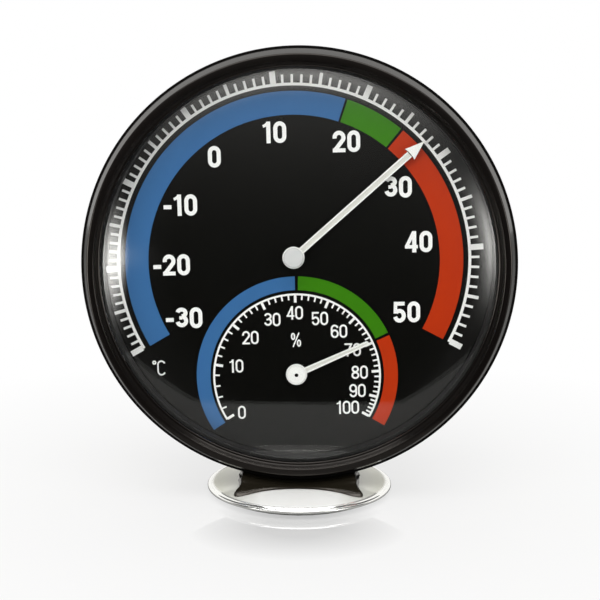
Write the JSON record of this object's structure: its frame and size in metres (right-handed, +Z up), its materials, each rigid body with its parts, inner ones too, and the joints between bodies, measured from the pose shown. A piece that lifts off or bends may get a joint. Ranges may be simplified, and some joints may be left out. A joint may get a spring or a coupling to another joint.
{
  "type": "thermo-hygrometer",
  "caption": "Round black thermo-hygrometer with a domed lens, an arrow pointer over a large temperature scale and a needle over a small humidity scale, on a chrome disc base.",
  "frame": {"origin": "middle of the base disc's underside, on the table", "axes": "+Z up, the dial faces -Y, +X to the right of someone who reads the dial"},
  "size_m": [0.13, 0.0568, 0.1355],
  "materials": {
    "chrome": "polished chrome plate",
    "steel": "zinc plated",
    "brass": "turned brass",
    "bimetal": "rolled bimetal strip",
    "moisture_strip": "thin metal strip with a moisture sensitive coat",
    "black_gloss": "glossy moulded plastic",
    "black_satin": "fine textured moulded plastic",
    "dial_black": "screen printed satin black sheet",
    "lens_clear": "clear moulded window",
    "pointer_white": "white paint on thin aluminium",
    "hub_grey": "light grey moulded plastic",
    "foot_foam": "dense black foam"
  },
  "bodies": {
    "stand": {"base_shell": "chrome", "base_weight": "steel", "foot_pad": "foot_foam", "saddle": "black_gloss", "saddle_screw_left": "steel", "saddle_screw_right": "steel"},
    "case": {"front_bezel": "black_gloss", "lens": "lens_clear", "spacer_ring": "black_satin", "dial_plate": "dial_black", "rear_case": "black_satin", "hanger_plate": "steel", "hanger_screw_left": "steel", "hanger_screw_right": "steel", "case_screw_1": "steel", "case_screw_2": "steel", "case_screw_3": "steel", "case_screw_4": "steel", "thermometer_frame": "steel", "thermometer_front_bush": "brass", "thermometer_rear_bush": "brass", "thermometer_frame_screw_left": "steel", "thermometer_frame_screw_right": "steel", "hygrometer_frame": "steel", "hygrometer_front_bush": "brass", "hygrometer_rear_bush": "brass", "hygrometer_frame_screw_left": "steel", "hygrometer_frame_screw_right": "steel"},
    "temperature_adjuster": {"thermometer_adjuster": "brass", "thermometer_coil": "bimetal"},
    "temperature_pointer": {"thermometer_collet": "brass", "thermometer_shaft": "steel", "thermometer_pointer": "pointer_white", "thermometer_hub_cap": "hub_grey"},
    "humidity_adjuster": {"hygrometer_adjuster": "brass", "hygrometer_coil": "moisture_strip"},
    "humidity_pointer": {"hygrometer_collet": "brass", "hygrometer_shaft": "steel", "hygrometer_pointer": "pointer_white", "hygrometer_hub_collar": "pointer_white"}
  },
  "joints": [
    {"name": "case_lift", "type": "slide", "parent": "stand", "child": "case", "axis": [0, 0, 1], "range_m": [0, 0.012]},
    {"name": "temperature_adjust", "type": "hinge", "parent": "case", "child": "temperature_adjuster", "pos_m": [-0.00165, 0.0086, 0.0731], "axis": [0, 1, 0], "range_deg": [-30, 30]},
    {"name": "temperature_reading", "type": "hinge", "parent": "temperature_adjuster", "child": "temperature_pointer", "pos_m": [-0.00165, -0.0055, 0.0731], "axis": [0, 1, 0], "range_deg": [-168.1, 69.1], "stiffness_Nm_per_rad": 0.002},
    {"name": "humidity_adjust", "type": "hinge", "parent": "case", "child": "humidity_adjuster", "pos_m": [-0.00078, 0.0086, 0.03736], "axis": [0, 1, 0], "range_deg": [-30, 30]},
    {"name": "humidity_reading", "type": "hinge", "parent": "humidity_adjuster", "child": "humidity_pointer", "pos_m": [-0.00078, -0.0045, 0.03736], "axis": [0, 1, 0], "range_deg": [-187.6, 53.5], "stiffness_Nm_per_rad": 0.002}
  ]
}
